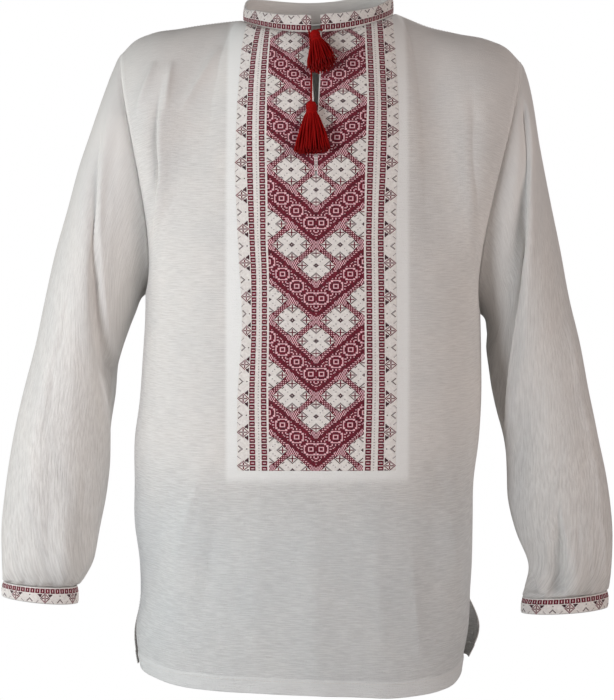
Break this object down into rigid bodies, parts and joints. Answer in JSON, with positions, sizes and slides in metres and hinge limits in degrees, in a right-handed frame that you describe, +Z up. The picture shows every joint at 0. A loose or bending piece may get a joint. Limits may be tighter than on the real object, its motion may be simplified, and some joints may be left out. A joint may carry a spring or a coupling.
{
  "type": "embroidered vyshyvanka shirt",
  "caption": "Loose pull-on linen shirt, hollow as worn, with embroidered front, standing collar and narrow cuffs, slit neck with tasselled tie, long sleeves and side slits",
  "frame": {"origin": "middle of the neck opening, level with the shoulder seams, where the wearer's shoulders hold the shirt", "axes": "+X to the wearer's left, -Y to the front, +Z up"},
  "size_m": [0.7115, 0.2434, 0.8131],
  "materials": {
    "linen": "matt off-white linen, fine slubbed weave",
    "embroidered_linen": "off-white linen with a wide panel of dark red, near-black and white cross stitch",
    "embroidered_band": "off-white linen band covered in dark red and white cross stitch",
    "red_cotton": "matt twisted dark red cotton"
  },
  "bodies": {
    "root": {"body_front": "embroidered_linen", "body_back": "linen", "sleeve_right": "linen", "sleeve_left": "linen", "cuff_right": "embroidered_band", "cuff_left": "embroidered_band", "collar": "embroidered_band", "tie_cord": "red_cotton", "tassel_upper": "red_cotton", "tassel_lower": "red_cotton"}
  },
  "joints": []
}
